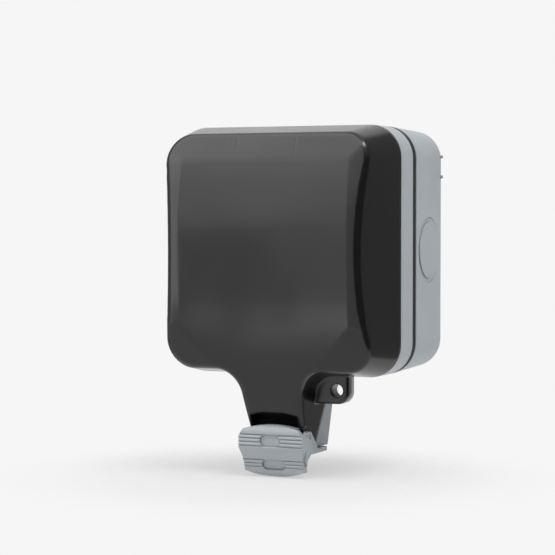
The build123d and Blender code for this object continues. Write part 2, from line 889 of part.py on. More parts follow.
# Cable seals: two rubber blocks that close round the flex at the end of the neck
with BuildPart() as upper_cable_seal:
    with BuildSketch(facing(flex_depth + gap / 2)):
        with Locations((0, cable_seal_top)):
            Rectangle(upper_seal_width, cable_seal_height, align=(Align.CENTER, Align.MAX))
    extrude(amount=latch_wall_rear - flex_depth - gap / 2)
    with BuildSketch(Plane.XY):
        with Locations((0, -flex_depth)):
            Circle(flex_hole_radius)
    extrude(amount=2 * rim_height, both=True, mode=Mode.SUBTRACT)
upper_cable_seal.part.label = "upper_cable_seal"
export_step(upper_cable_seal.part, "parts/upper_cable_seal.step")

with BuildPart() as lower_cable_seal:
    with BuildSketch(facing(tongue_rear + tongue_wall)):
        with Locations((0, cable_seal_top)):
            Rectangle(lower_seal_width, cable_seal_height, align=(Align.CENTER, Align.MAX))
    extrude(amount=flex_depth - gap / 2 - tongue_rear - tongue_wall)
    with BuildSketch(Plane.XY):
        with Locations((0, -flex_depth)):
            Circle(flex_hole_radius)
    extrude(amount=2 * rim_height, both=True, mode=Mode.SUBTRACT)
lower_cable_seal.part.label = "lower_cable_seal"
export_step(lower_cable_seal.part, "parts/lower_cable_seal.step")

# Pins of the hinge and of the latch
with BuildPart() as hinge_pin:
    with BuildSketch(side_view()):
        with Locations((hinge_depth, hinge_z)):
            Circle(hinge_pin_radius)
    extrude(amount=hinge_pin_length / 2, both=True)
hinge_pin.part.label = "hinge_pin"
export_step(hinge_pin.part, "parts/hinge_pin.step")

with BuildPart() as latch_pin:
    with BuildSketch(side_view()):
        with Locations((latch_depth, latch_z)):
            Circle(latch_pin_radius)
    extrude(amount=cheek_inner + cheek_thickness - latch_pin_sink, both=True)
latch_pin.part.label = "latch_pin"
export_step(latch_pin.part, "parts/latch_pin.step")

# Latch: ribbed pad, two cheeks on the pin and two hooked arms, moulded in one piece
toe_length = hypot(band_foot - toe_face, band_low - toe_top)
toe_lean = atan2(band_foot - toe_face, band_low - toe_top)
toe_plane = Plane(
    origin=(0, -band_foot, band_low),
    x_dir=(1, 0, 0),
    z_dir=(0, -cos(toe_lean), -sin(toe_lean)),
)


def toe_point(along, sunk):
    """Depth and height of a point down the toe, sunk below its face."""
    depth = band_foot - along * sin(toe_lean) - sunk * cos(toe_lean)
    height = band_low - along * cos(toe_lean) + sunk * sin(toe_lean)
    return depth, height


rib_root = pad_face - rib_depth
rib_last = rib_first - pad_ribs * rib_pitch
toe_rib_last = toe_rib_first + toe_ribs * rib_pitch
with BuildPart() as latch:
    with BuildSketch(side_view()):
        with BuildLine():
            Line(toe_tip[-1], (pad_back, pad_top))
            Line((pad_back, pad_top), (pad_crest, pad_top))
            ThreePointArc((pad_crest, pad_top), (pad_crest_low, pad_crest_mid), (pad_face, pad_land))
            Line((pad_face, pad_land), (rib_root, rib_first))
            for rib in range(pad_ribs):
                z = rib_first - rib * rib_pitch
                crest = (pad_face, z - rib_pitch / 2)
                ThreePointArc((rib_root, z), crest, (rib_root, z - rib_pitch))
            Polyline((rib_root, rib_last), (pad_face, band_top), (band_foot, band_low))
            Line((band_foot, band_low), toe_point(toe_rib_first, rib_depth))
            for rib in range(toe_ribs):
                along = toe_rib_first + rib * rib_pitch
                crest = toe_point(along + rib_pitch / 2, 0)
                ThreePointArc(toe_point(along, rib_depth), crest, toe_point(along + rib_pitch, rib_depth))
            Line(toe_point(toe_rib_last, rib_depth), toe_point(toe_rib_last + rib_depth, 0))
            Line(toe_point(toe_rib_last + rib_depth, 0), (toe_face, toe_top))
            ThreePointArc((toe_face, toe_top), toe_tip[0], toe_tip[1])
            Polyline(*toe_tip[1:])
        make_face()
    extrude(amount=pad_half, both=True)
    with BuildSketch(facing(0)):
        with BuildLine():
            corner_x, corner_z = pad_corner
            ThreePointArc((-corner_x, corner_z), (0, pad_top), (corner_x, corner_z))
            Polyline(
                (corner_x, corner_z),
                (pad_half, pad_shoulder),
                (pad_half, pad_hip),
                (toe_half, toe_hip),
                (toe_half, toe_side),
            )
            ThreePointArc((toe_half, toe_side), (0, pad_bottom), (-toe_half, toe_side))
            Polyline(
                (-toe_half, toe_side),
                (-toe_half, toe_hip),
                (-pad_half, pad_hip),
                (-pad_half, pad_shoulder),
                (-corner_x, corner_z),
            )
        make_face()
    extrude(amount=crown_depth, mode=Mode.INTERSECT)
    # Plain oval field sunk in each group of ribs
    with BuildSketch(facing(pad_face)):
        with Locations((0, upper_field_z)):
            SlotOverall(*upper_field)
    extrude(amount=-field_depth, mode=Mode.SUBTRACT)
    with BuildSketch(toe_plane):
        with Locations((0, -toe_length / 2)):
            SlotOverall(*lower_field)
    extrude(amount=-field_depth, mode=Mode.SUBTRACT)
    # The upper corners of the pad stand clear of the cheeks
    for x in (pad_half, -wedge_inner):
        with BuildSketch(side_view(x)):
            with BuildLine():
                Polyline(*wedge, close=True)
            make_face()
        extrude(amount=pad_half - wedge_inner, mode=Mode.SUBTRACT)
    for x in (cheek_inner + cheek_thickness, -cheek_inner):
        extrude(cheek_sketch(x), amount=cheek_thickness)
    # Hooks that reach behind the catch bars of the tongue
    for x in (hook_outer, -hook_inner):
        with BuildSketch(side_view(x)):
            with Locations((arm_tip, arm_bottom)):
                Rectangle(hook_front - arm_tip, hook_top - arm_bottom, align=(Align.MIN, Align.MIN))
            with Locations((latch_depth, latch_z)):
                Circle(hook_radius + gap / 2, mode=Mode.SUBTRACT)
        extrude(amount=hook_outer - hook_inner)
    for x in (cheek_inner + cheek_thickness, -hook_inner):
        with BuildSketch(side_view(x)):
            with Locations((arm_tip, arm_bottom)):
                Rectangle(hook_front - arm_tip, arm_top - arm_bottom, align=(Align.MIN, Align.MIN))
        extrude(amount=cheek_inner + cheek_thickness - hook_inner)
    with BuildSketch(side_view()):
        with Locations((latch_depth, latch_z)):
            Circle(latch_pin_radius + pin_play)
    extrude(amount=rim_width / 2, both=True, mode=Mode.SUBTRACT)
latch.part.label = "latch"
export_step(latch.part, "parts/latch.step")

# Screws that clamp the frame to the box, each with a sealing washer under its head
frame_screw_seat = frame_front - counterbore_depth + washer_thickness
with BuildPart() as frame_screw_seals:
    with BuildSketch(facing(frame_front - counterbore_depth)):
        with GridLocations(frame_screw_x, frame_screw_z, 2, 2):
            Circle(washer_radius)
            Circle(washer_bore, mode=Mode.SUBTRACT)
    extrude(amount=washer_thickness)
frame_screw_seals.part.label = "frame_screw_seals"
export_step(frame_screw_seals.part, "parts/frame_screw_seals.step")

with BuildPart() as frame_screws:
    with BuildSketch(facing(frame_screw_seat)):
        with GridLocations(frame_screw_x, frame_screw_z, 2, 2):
            Circle(frame_screw_head_radius)
    extrude(amount=frame_screw_head_height)
    with BuildSketch(facing(frame_screw_seat)):
        with GridLocations(frame_screw_x, frame_screw_z, 2, 2):
            Circle(frame_screw_radius)
    extrude(amount=-frame_screw_length)
    with BuildSketch(facing(frame_screw_seat + frame_screw_head_height)):
        with GridLocations(frame_screw_x, frame_screw_z, 2, 2):
            Rectangle(cross_length, cross_width)
            Rectangle(cross_width, cross_length)
    extrude(amount=-cross_depth, mode=Mode.SUBTRACT)
frame_screws.part.label = "frame_screws"
export_step(frame_screws.part, "parts/frame_screws.step")

# Socket plate: face with the three pin slots and the opening for the rocker
plate_front = well_face + plate_thickness
with BuildPart() as socket_plate:
    with BuildSketch(facing(well_face)):
        RectangleRounded(plate_size, plate_size, plate_radius)
        with GridLocations(module_screw_pitch, module_screw_pitch, 2, 2):
            Circle(module_screw_radius + clearance, mode=Mode.SUBTRACT)
        with Locations((-line_slot_x, line_slot_z), (line_slot_x, line_slot_z)):
            Rectangle(line_slot_width, line_slot_height, mode=Mode.SUBTRACT)
        with Locations((0, earth_slot_z)):
            Rectangle(earth_slot_width, earth_slot_height, mode=Mode.SUBTRACT)
        with Locations((0, switch_z)):
            Rectangle(switch_width, switch_height, mode=Mode.SUBTRACT)
    extrude(amount=plate_thickness)
socket_plate.part.label = "socket_plate"
export_step(socket_plate.part, "parts/socket_plate.step")

# Screws that hold the socket module to the floor of the well
with BuildPart() as module_screws:
    with BuildSketch(facing(plate_front)):
        with GridLocations(module_screw_pitch, module_screw_pitch, 2, 2):
            Circle(module_screw_head_radius)
    extrude(amount=module_screw_head_height)
    with BuildSketch(facing(plate_front)):
        with GridLocations(module_screw_pitch, module_screw_pitch, 2, 2):
            Circle(module_screw_radius)
    extrude(amount=-module_screw_length)
    with BuildSketch(facing(plate_front + module_screw_head_height)):
        with GridLocations(module_screw_pitch, module_screw_pitch, 2, 2):
            Rectangle(cross_length, cross_width)
            Rectangle(cross_width, cross_length)
    extrude(amount=-cross_depth, mode=Mode.SUBTRACT)
module_screws.part.label = "module_screws"
export_step(module_screws.part, "parts/module_screws.step")

# Socket base: insulating block with shafts for the contacts, shutter bay and switch bay
with BuildPart() as socket_base:
    with BuildSketch(facing(base_rear)):
        with Locations((0, (base_top + base_bottom) / 2)):
            RectangleRounded(base_width, base_top - base_bottom, base_round)
    extrude(amount=well_face - base_rear)
    with BuildSketch(facing(shutter_floor)):
        with Locations((0, shutter_bay_bottom)):
            Rectangle(shutter_bay_width, shutter_bay_height, align=(Align.CENTER, Align.MIN))
    extrude(amount=well_face - shutter_floor, mode=Mode.SUBTRACT)
    with BuildSketch(facing(base_rear)):
        with Locations((-line_slot_x, line_slot_z), (line_slot_x, line_slot_z)):
            Rectangle(shaft_long, shaft_short)
        with Locations((0, earth_slot_z)):
            Rectangle(shaft_short, shaft_long)
        with Locations((-arm_x, switch_z), (arm_x, switch_z), (-arm_x, stud_z), (arm_x, stud_z)):
            Circle(stud_radius + stud_play)
    extrude(amount=shutter_floor - base_rear, mode=Mode.SUBTRACT)
    with BuildSketch(facing(switch_bay_floor)):
        with Locations((0, switch_z)):
            Rectangle(switch_width + gap, switch_height + 2 * gap)
    extrude(amount=well_face - switch_bay_floor, mode=Mode.SUBTRACT)
    with BuildSketch(side_view()):
        with Locations((rocker_depth, switch_z)):
            Circle(trunnion_radius + pin_play)
    extrude(amount=trunnion_reach + gap, both=True, mode=Mode.SUBTRACT)
    with BuildSketch(facing(shutter_floor - post_height)):
        with Locations((0, spring_foot)):
            Rectangle(post_width, post_height, align=(Align.CENTER, Align.MAX))
    extrude(amount=post_front - shutter_floor + post_height)
socket_base.part.label = "socket_base"
export_step(socket_base.part, "parts/socket_base.step")

# Shutter: crossbar behind the line slots, and a stem that the earth pin pushes down
with BuildPart() as shutter:
    with BuildSketch(facing(shutter_rear)):
        with Locations((0, line_slot_z)):
            Rectangle(shutter_bar_width, shutter_bar_height)
        with Locations((0, line_slot_z)):
            Rectangle(stem_width, shutter_top - line_slot_z, align=(Align.CENTER, Align.MIN))
        with Locations((0, spring_foot + spring_length)):
            Rectangle(
                window_width,
                spring_length + post_height + gap,
                align=(Align.CENTER, Align.MAX),
                mode=Mode.SUBTRACT,
            )
    extrude(amount=shutter_thickness)
    shutter_front = shutter_rear + shutter_thickness
    with BuildSketch(side_view()):
        with BuildLine():
            Polyline(
                (shutter_front, ramp_foot_z),
                (shutter_front - ramp_depth, shutter_top),
                (shutter_front, shutter_top),
                close=True,
            )
        make_face()
    extrude(amount=stem_width / 2, both=True, mode=Mode.SUBTRACT)
shutter.part.label = "shutter"
export_step(shutter.part, "parts/shutter.step")

# Shutter spring, between a post of the base and the top of the shutter's window
spring_y = -(shutter_rear + shutter_thickness / 2)
with BuildPart() as shutter_spring:
    with BuildLine() as coil:
        Helix(
            pitch=shutter_spring_pitch,
            height=spring_length - 2 * spring_wire,
            radius=spring_radius,
            center=(0, spring_y, spring_foot + spring_wire),
        )
    with BuildSketch(Plane(origin=coil.line @ 0, z_dir=coil.line % 0)):
        RegularPolygon(spring_wire, wire_sides)
    sweep(path=coil.line, is_frenet=True)
shutter_spring.part.label = "shutter_spring"
export_step(shutter_spring.part, "parts/shutter_spring.step")


def line_contact(sign, name):
    """Clip that grips a line pin, with its strap and the stud that carries the switch arm."""
    with BuildPart() as contact:
        with BuildSketch(side_view(sign * line_slot_x)):
            for side_sign in (-1, 1):
                with Locations((strap_front, line_slot_z + side_sign * clip_gap)):
                    Rectangle(clip_front - strap_front, strip, align=(Align.MIN, Align.CENTER))
        extrude(amount=clip_half, both=True)
        with BuildSketch(facing(strap_front - strip)):
            with BuildLine():
                Polyline(
                    (sign * (line_slot_x - clip_half), line_slot_z - clip_gap - strip / 2),
                    (sign * (line_slot_x + clip_half), line_slot_z - clip_gap - strip / 2),
                    (sign * (line_slot_x + clip_half), strap_shoulder),
                    (sign * (arm_x + strap_pad), switch_z + strap_pad),
                    (sign * (arm_x - strap_pad), switch_z + strap_pad),
                    (sign * (arm_x - strap_pad), switch_z - strap_pad),
                    (sign * (line_slot_x - clip_half), strap_elbow),
                    close=True,
                )
            make_face()
        extrude(amount=strip)
        with BuildSketch(facing(strap_front)):
            with Locations((sign * arm_x, switch_z)):
                Circle(stud_radius)
        extrude(amount=arm_stud_front - strap_front)
    contact.part.label = name
    export_step(contact.part, f"parts/{name}.step")


line_contact(1, "live_contact")
line_contact(-1, "neutral_contact")

# Earth contact: clip that grips the long earth pin from both sides
with BuildPart() as earth_contact:
    with BuildSketch(facing(strap_front)):
        with Locations((-clip_gap, earth_slot_z), (clip_gap, earth_slot_z)):
            Rectangle(strip, 2 * clip_half)
    extrude(amount=clip_front - strap_front)
    with BuildSketch(facing(strap_front - strip)):
        with Locations((0, earth_slot_z)):
            Rectangle(2 * clip_gap + strip, 2 * clip_half)
    extrude(amount=strip)
earth_contact.part.label = "earth_contact"
export_step(earth_contact.part, "parts/earth_contact.step")


def terminal(x, z, front, stud_x, name):
    """Brass block with a cross hole for the wire, and for a line terminal its contact stud."""
    with BuildPart() as block:
        with BuildSketch(facing(terminal_rear)):
            with Locations((x, z)):
                Rectangle(terminal_size, terminal_size)
        extrude(amount=front - terminal_rear)
        with BuildSketch(Plane.XY.offset(z)):
            with Locations((x, -wire_depth)):
                Circle(wire_radius)
        extrude(amount=terminal_size, both=True, mode=Mode.SUBTRACT)
        with BuildSketch(facing(terminal_rear)):
            with Locations((x, z)):
                Circle(terminal_screw_radius)
        extrude(amount=wire_depth - terminal_rear, mode=Mode.SUBTRACT)
        if stud_x:
            with BuildSketch(facing(front)):
                with Locations((stud_x, stud_z)):
                    Circle(stud_radius)
            extrude(amount=line_stud_front - front)
    block.part.label = name
    export_step(block.part, f"parts/{name}.step")


terminal(line_terminal_x, line_terminal_z, base_rear, arm_x, "live_terminal")
terminal(-line_terminal_x, line_terminal_z, base_rear, -arm_x, "neutral_terminal")
terminal(0, earth_slot_z, strap_front - strip, 0, "earth_terminal")

# Terminal screws, driven from behind
with BuildPart() as terminal_screws:
    with BuildSketch(facing(terminal_rear - terminal_screw_proud)):
        with Locations(
            (line_terminal_x, line_terminal_z), (-line_terminal_x, line_terminal_z), (0, earth_slot_z)
        ):
            Circle(terminal_screw_radius)
    extrude(amount=wire_depth - terminal_rear + gap)
    with BuildSketch(facing(terminal_rear - terminal_screw_proud)):
        with Locations(
            (line_terminal_x, line_terminal_z), (-line_terminal_x, line_terminal_z), (0, earth_slot_z)
        ):
            Rectangle(2 * terminal_screw_radius, driver_slot_width)
    extrude(amount=driver_slot_depth, mode=Mode.SUBTRACT)
terminal_screws.part.label = "terminal_screws"
export_step(terminal_screws.part, "parts/terminal_screws.step")

# Rocker, drawn in its OFF tilt: dished face, trunnions and two plunger tubes
tilt = radians(rocker_tilt)
rocker_origin = (0, -rocker_depth, switch_z)
rocker_side = Plane(origin=rocker_origin, x_dir=(0, -cos(tilt), sin(tilt)), z_dir=(-1, 0, 0))
rocker_face = Plane(origin=rocker_origin, x_dir=(1, 0, 0), z_dir=(0, -cos(tilt), sin(tilt)))
with BuildPart() as rocker:
    with BuildSketch(rocker_side):
        with BuildLine():
            Polyline(
                (rocker_front, rocker_half),
                (-rocker_back, rocker_back_half),
                (-rocker_back, -rocker_back_half),
                (rocker_front, -rocker_half),
            )
            ThreePointArc((rocker_front, -rocker_half), (rocker_dish, 0), (rocker_front, rocker_half))
        make_face()
    extrude(amount=switch_width / 2 - gap, both=True)
    with BuildSketch(rocker_side):
        Circle(trunnion_radius)
    extrude(amount=trunnion_reach, both=True)
    with BuildSketch(rocker_face):
        with Locations((-arm_x, 0), (arm_x, 0)):
            Circle(tube_radius)
    extrude(amount=-tube_reach)
    with BuildSketch(rocker_face.offset(spring_seat)):
        with Locations((-arm_x, 0), (arm_x, 0)):
            Circle(plunger_radius + pin_play)
    extrude(amount=-tube_reach - spring_seat, mode=Mode.SUBTRACT)
rocker.part.label = "rocker"
export_step(rocker.part, "parts/rocker.step")

# Plungers that flip the switch arms, and the springs behind them
with BuildPart() as rocker_plungers:
    with BuildSketch(rocker_face.offset(-plunger_tip)):
        with Locations((-arm_x, 0), (arm_x, 0)):
            Circle(plunger_radius)
    extrude(amount=plunger_tip - plunger_head)
    fillet(rocker_plungers.faces().sort_by(Axis.Y)[-2:].edges(), plunger_round)
rocker_plungers.part.label = "rocker_plungers"
export_step(rocker_plungers.part, "parts/rocker_plungers.step")

with BuildPart() as rocker_springs:
    for x in (-arm_x, arm_x):
        start = rocker_face.from_local_coords((x, 0, spring_wire - plunger_head))
        with BuildLine() as plunger_coil:
            Helix(
                pitch=rocker_spring_pitch,
                height=spring_seat + plunger_head - 2 * spring_wire,
                radius=plunger_radius - 2 * spring_wire,
                center=start,
                direction=rocker_face.z_dir,
            )
        with BuildSketch(Plane(origin=plunger_coil.line @ 0, z_dir=plunger_coil.line % 0)):
            RegularPolygon(spring_wire, wire_sides)
        sweep(path=plunger_coil.line, is_frenet=True)
rocker_springs.part.label = "rocker_springs"
export_step(rocker_springs.part, "parts/rocker_springs.step")


def switch_arm(sign, name):
    """See-saw strip with a rounded back on its stud and a contact rivet at the top end."""
    lean = radians(arm_tilt)
    arm_side = Plane(
        origin=(sign * arm_x, -arm_depth, switch_z),
        x_dir=(0, -cos(lean), -sin(lean)),
        z_dir=(-1, 0, 0),
    )
    with BuildPart() as arm:
        with BuildSketch(arm_side):
            with Locations((arm_strip_lift, 0)):
                Rectangle(arm_strip_thickness, arm_length)
            with Locations((arm_back_lift, 0)):
                Circle(arm_back_radius)
            with Locations((rivet_lift, rivet_place)):
                Rectangle(rivet_height, rivet_width)
        extrude(amount=arm_half_width, both=True)
    arm.part.label = name
    export_step(arm.part, f"parts/{name}.step")


switch_arm(1, "live_arm")
switch_arm(-1, "neutral_arm")
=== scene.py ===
"""Looks of a weatherproof outdoor socket: grey wall box, black hinged lid and grey rocker latch."""
from math import cos, radians, sin

import bmesh
import bpy
from mathutils import Matrix, Vector


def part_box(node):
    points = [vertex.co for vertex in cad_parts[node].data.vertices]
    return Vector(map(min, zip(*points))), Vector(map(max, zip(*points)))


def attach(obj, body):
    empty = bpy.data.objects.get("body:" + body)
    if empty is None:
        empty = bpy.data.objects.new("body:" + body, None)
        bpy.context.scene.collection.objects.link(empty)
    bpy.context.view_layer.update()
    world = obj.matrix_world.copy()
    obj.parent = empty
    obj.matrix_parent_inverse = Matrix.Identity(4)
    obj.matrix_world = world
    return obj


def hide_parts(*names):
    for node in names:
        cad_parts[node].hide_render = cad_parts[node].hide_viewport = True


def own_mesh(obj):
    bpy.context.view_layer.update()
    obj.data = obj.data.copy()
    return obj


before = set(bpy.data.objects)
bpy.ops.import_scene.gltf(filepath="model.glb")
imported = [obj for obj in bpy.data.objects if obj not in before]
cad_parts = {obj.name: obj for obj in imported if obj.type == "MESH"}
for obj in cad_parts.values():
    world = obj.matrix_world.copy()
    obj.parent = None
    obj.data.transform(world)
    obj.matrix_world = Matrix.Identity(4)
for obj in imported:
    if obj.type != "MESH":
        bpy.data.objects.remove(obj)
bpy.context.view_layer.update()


# Back box
# A drafted box injection-moulded in grey polycarbonate, with round knock-out seats in its walls.
# Four stand-off pads behind it sit on the wall, and it carries everything else.
MM = 0.001


def linear(code):
    """An sRGB hex colour as linear red, green, blue and alpha."""
    channels = [int(code[i:i + 2], 16) / 255 for i in (1, 3, 5)]
    return [c / 12.92 if c <= 0.04045 else ((c + 0.055) / 1.055) ** 2.4 for c in channels] + [1.0]


def add(tree, kind, sockets=None, **settings):
    """A node with its settings, and its sockets set to values or linked to other nodes' outputs."""
    node = tree.nodes.new(kind)
    for name, value in settings.items():
        setattr(node, name, value)
    for key, value in (sockets or {}).items():
        if isinstance(value, bpy.types.NodeSocket):
            tree.links.new(value, node.inputs[key])
        else:
            node.inputs[key].default_value = value
    return node


def per_mm(size):
    """Texture scale that gives features of this size in millimetres."""
    return 1.0 / (size * MM)


def new_material(name):
    """A node material with its tree, its shader, and the place on the piece that patterns read."""
    material = bpy.data.materials.new(name)
    material.use_nodes = True
    tree = material.node_tree
    tree.nodes.clear()
    shader = add(tree, "ShaderNodeBsdfPrincipled")
    add(tree, "ShaderNodeOutputMaterial", {"Surface": shader.outputs["BSDF"]})
    place = add(tree, "ShaderNodeTexCoord").outputs["Object"]
    return material, tree, shader, place


def moulded_plastic(name, pale, deep, roughness, grain_mm, grain_height_mm, flow_mm):
    """Injection-moulded plastic: flow marks in colour and gloss, the mould's grain, and painted shade in
    its recesses.
    """
    material, tree, shader, place = new_material(name)
    flow = add(tree, "ShaderNodeTexNoise", {"Vector": place, "Scale": per_mm(flow_mm), "Detail": 3.0})
    tint = add(tree, "ShaderNodeValToRGB", {"Fac": flow.outputs["Fac"]})
    for stop, position, code in zip(tint.color_ramp.elements, (0.35, 0.65), (deep, pale)):
        stop.position = position
        stop.color = linear(code)
    gloss_swing = 0.08
    gloss = add(tree, "ShaderNodeMapRange", {
        "Value": flow.outputs["Fac"], "From Min": 0.3, "From Max": 0.7,
        "To Min": roughness * (1.0 - gloss_swing), "To Max": roughness * (1.0 + gloss_swing)})
    # A mould's real grain is about a tenth of a millimetre, too fine to show, so it is drawn coarser
    grain = add(tree, "ShaderNodeTexNoise", {"Vector": place, "Scale": per_mm(grain_mm), "Detail": 2.0})
    bump = add(tree, "ShaderNodeBump", {
        "Height": grain.outputs["Fac"], "Strength": 1.0, "Distance": grain_height_mm * MM}, name="grain")
    # Painted shade: the colour darkens in recesses, creases and grooves, where ambient occlusion finds
    # other surfaces of the same piece close by
    recess_shade_reach = 1.5 * MM
    recess_shade_darkest = 0.62
    recess = add(tree, "ShaderNodeAmbientOcclusion", {"Distance": recess_shade_reach}, samples=8, only_local=True)
    painted_recess_shade = add(tree, "ShaderNodeMapRange", {
        "Value": recess.outputs["AO"], "From Min": 0.3, "From Max": 0.9,
        "To Min": recess_shade_darkest, "To Max": 1.0})
    shade = add(tree, "ShaderNodeVectorMath", {0: tint.outputs["Color"], "Scale": painted_recess_shade.outputs["Result"]},
                operation="SCALE")
    tree.links.new(shade.outputs["Vector"], shader.inputs["Base Color"])
    tree.links.new(gloss.outputs["Result"], shader.inputs["Roughness"])
    tree.links.new(bump.outputs["Normal"], shader.inputs["Normal"])
    shader.inputs["IOR"].default_value = 1.5
    return material


def dress(material, *nodes):
    """Gives solids their material."""
    for node in nodes:
        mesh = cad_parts[node].data
        mesh.materials.clear()
        mesh.materials.append(material)


# Satin grey with a fine spark-eroded grain that breaks the highlights, and faint flow clouds
housing_plastic = moulded_plastic(
    "grey_polycarbonate", pale="#9BA1A5", deep="#959BA0", roughness=0.42,
    grain_mm=0.7, grain_height_mm=0.004, flow_mm=30.0)
dress(housing_plastic, "back_box")


# Box gasket and other seals
# Soft black rubber, cut from sheet or moulded, pressed between box and frame so that only its edge
# shows as a thin line. The cable seals and the washers under the frame screws are of the same rubber.
# Dull and nearly black, with a chalky bloom
gasket_rubber = moulded_plastic(
    "black_rubber", pale="#1A1A1B", deep="#141415", roughness=0.7,
    grain_mm=0.6, grain_height_mm=0.01, flow_mm=12.0)
dress(gasket_rubber, "box_gasket", "lower_cable_seal", "frame_screw_seals")


# Socket base
# A dark thermoset moulding behind the plate that holds the contacts, the terminals and the switch.
# It stands in an opening of the frame's well, against the back of the plate.
# Close-grained and matt, as a filled resin is
base_plastic = moulded_plastic(
    "dark_thermoset", pale="#3A3B3D", deep="#333436", roughness=0.5,
    grain_mm=0.5, grain_height_mm=0.006, flow_mm=20.0)
dress(base_plastic, "socket_base")


# Contacts, terminals and switch arms
# Sprung contacts and arms are stamped from brass strip and the terminals are cut from brass bar.
# They are pressed into the base from behind.
def metal(name, colour, tarnish, roughness, grain_mm):
    """Drawn or stamped metal with a fine grain in its gloss and a little tarnish in its colour."""
    material, tree, shader, place = new_material(name)
    # Rolling and drawing leave a grain too fine to show, so it is drawn coarser
    grain = add(tree, "ShaderNodeTexNoise", {"Vector": place, "Scale": per_mm(grain_mm), "Detail": 3.0})
    gloss_swing = 0.2
    gloss = add(tree, "ShaderNodeMapRange", {
        "Value": grain.outputs["Fac"], "From Min": 0.3, "From Max": 0.7,
        "To Min": roughness * (1.0 - gloss_swing), "To Max": roughness * (1.0 + gloss_swing)})
    film_mm = 12.0 * grain_mm
    film = add(tree, "ShaderNodeTexNoise", {"Vector": place, "Scale": per_mm(film_mm), "Detail": 2.0})
    tint = add(tree, "ShaderNodeValToRGB", {"Fac": film.outputs["Fac"]})
    for stop, position, code in zip(tint.color_ramp.elements, (0.3, 0.6), (tarnish, colour)):
        stop.position = position
        stop.color = linear(code)
    tree.links.new(tint.outputs["Color"], shader.inputs["Base Color"])
    tree.links.new(gloss.outputs["Result"], shader.inputs["Roughness"])
    shader.inputs["Metallic"].default_value = 1.0
    return material


# Bright yellow with a rolled grain, a little browner where hands have touched it
brass = metal("stamped_brass", colour="#D8B66A", tarnish="#C7A25A", roughness=0.3, grain_mm=0.4)
dress(brass, "live_contact", "neutral_contact", "earth_contact")
dress(brass, "live_terminal", "neutral_terminal", "earth_terminal")
dress(brass, "live_arm", "neutral_arm")


# Screws, springs and pins
# Turned, rolled and coiled steel parts with a thin zinc plating, driven or pushed into place.
# Pale bluish grey, half bright, with a slightly milky film
plated_steel = metal("zinc_plated_steel", colour="#C9CCCF", tarnish="#BDC1C6", roughness=0.28, grain_mm=0.5)
dress(plated_steel, "terminal_screws", "module_screws", "frame_screws")
dress(plated_steel, "hinge_pin", "latch_pin", "rocker_plungers", "rocker_springs")


# Shutter
# A slide moulded in white acetal, behind the plate, that keeps the live and neutral slots shut.
# Waxy and even, as acetal always is
shutter_plastic = moulded_plastic(
    "white_acetal", pale="#E6E6E2", deep="#E0E0DC", roughness=0.4,
    grain_mm=0.5, grain_height_mm=0.004, flow_mm=15.0)
dress(shutter_plastic, "shutter")


# Shutter spring
# A compression spring coiled from plated steel wire, with a closed turn at each end.
# It stands on a post of the base and is squeezed by the top of the shutter's window.
scene = bpy.context.scene
spring_low, spring_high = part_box("shutter_spring")
spring_x = (spring_low.x + spring_high.x) / 2
spring_y = (spring_low.y + spring_high.y) / 2
wire_radius = 0.18 * MM
wire_sides = 10
coil_radius = (spring_high.x - spring_low.x) / 2 - wire_radius
closed_rise = 0.4 * MM
open_rise = spring_high.z - spring_low.z - 2 * (wire_radius + closed_rise)
open_turns = 5.25
steps_per_turn = 28
coil = bmesh.new()
wire = bmesh.ops.create_circle(coil, segments=wire_sides, radius=wire_radius)["verts"]
bmesh.ops.rotate(coil, verts=wire, cent=(0.0, 0.0, 0.0), matrix=Matrix.Rotation(radians(90.0), 3, "X"))
bmesh.ops.translate(coil, verts=wire, vec=(spring_x + coil_radius, spring_y, spring_low.z + wire_radius))
end = list(coil.verts) + list(coil.edges)
for turns, rise in ((1.0, closed_rise), (open_turns, open_rise), (1.0, closed_rise)):
    steps = int(turns * steps_per_turn)
    end = bmesh.ops.spin(
        coil, geom=end, cent=(spring_x, spring_y, 0.0), axis=(0.0, 0.0, 1.0),
        dvec=(0.0, 0.0, rise / steps), angle=radians(360.0 * turns), steps=steps)["geom_last"]
bmesh.ops.holes_fill(coil, edges=[edge for edge in coil.edges if edge.is_boundary], sides=0)
bmesh.ops.recalc_face_normals(coil, faces=coil.faces)
for face in coil.faces:
    face.smooth = len(face.verts) == 4
coil_mesh = bpy.data.meshes.new("shutter_coil")
coil.to_mesh(coil_mesh)
coil.free()
coil_mesh.materials.append(plated_steel)
shutter_coil = bpy.data.objects.new("shutter_coil", coil_mesh)
scene.collection.objects.link(shutter_coil)
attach(shutter_coil, "housing")
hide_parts("shutter_spring")
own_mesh(shutter_coil)


# Rocker
# The white switch key, moulded in urea, with two sprung plungers underneath that flip the arms.
# Hard and glossy, whiter than the plate around it
rocker_plastic = moulded_plastic(
    "white_urea", pale="#EDEDEA", deep="#E8E8E4", roughness=0.3,
    grain_mm=0.5, grain_height_mm=0.003, flow_mm=15.0)
dress(rocker_plastic, "rocker")


# Socket plate
# The front of the socket module, a thermoset moulding with the three slots and the switch opening.
# It is screwed to bosses in the frame's well. Even grey, a little paler and glossier than the frame
plate_plastic = moulded_plastic(
    "grey_thermoset", pale="#A3A8AC", deep="#9EA3A7", roughness=0.4,
    grain_mm=0.6, grain_height_mm=0.004, flow_mm=25.0)
dress(plate_plastic, "socket_plate")


# Front frame
# Moulded in the same grey polycarbonate as the box and screwed to it at the four corners.
# It forms the well for the socket, the hinge ears, the cable tongue and half of the padlock lug.
dress(housing_plastic, "front_frame")


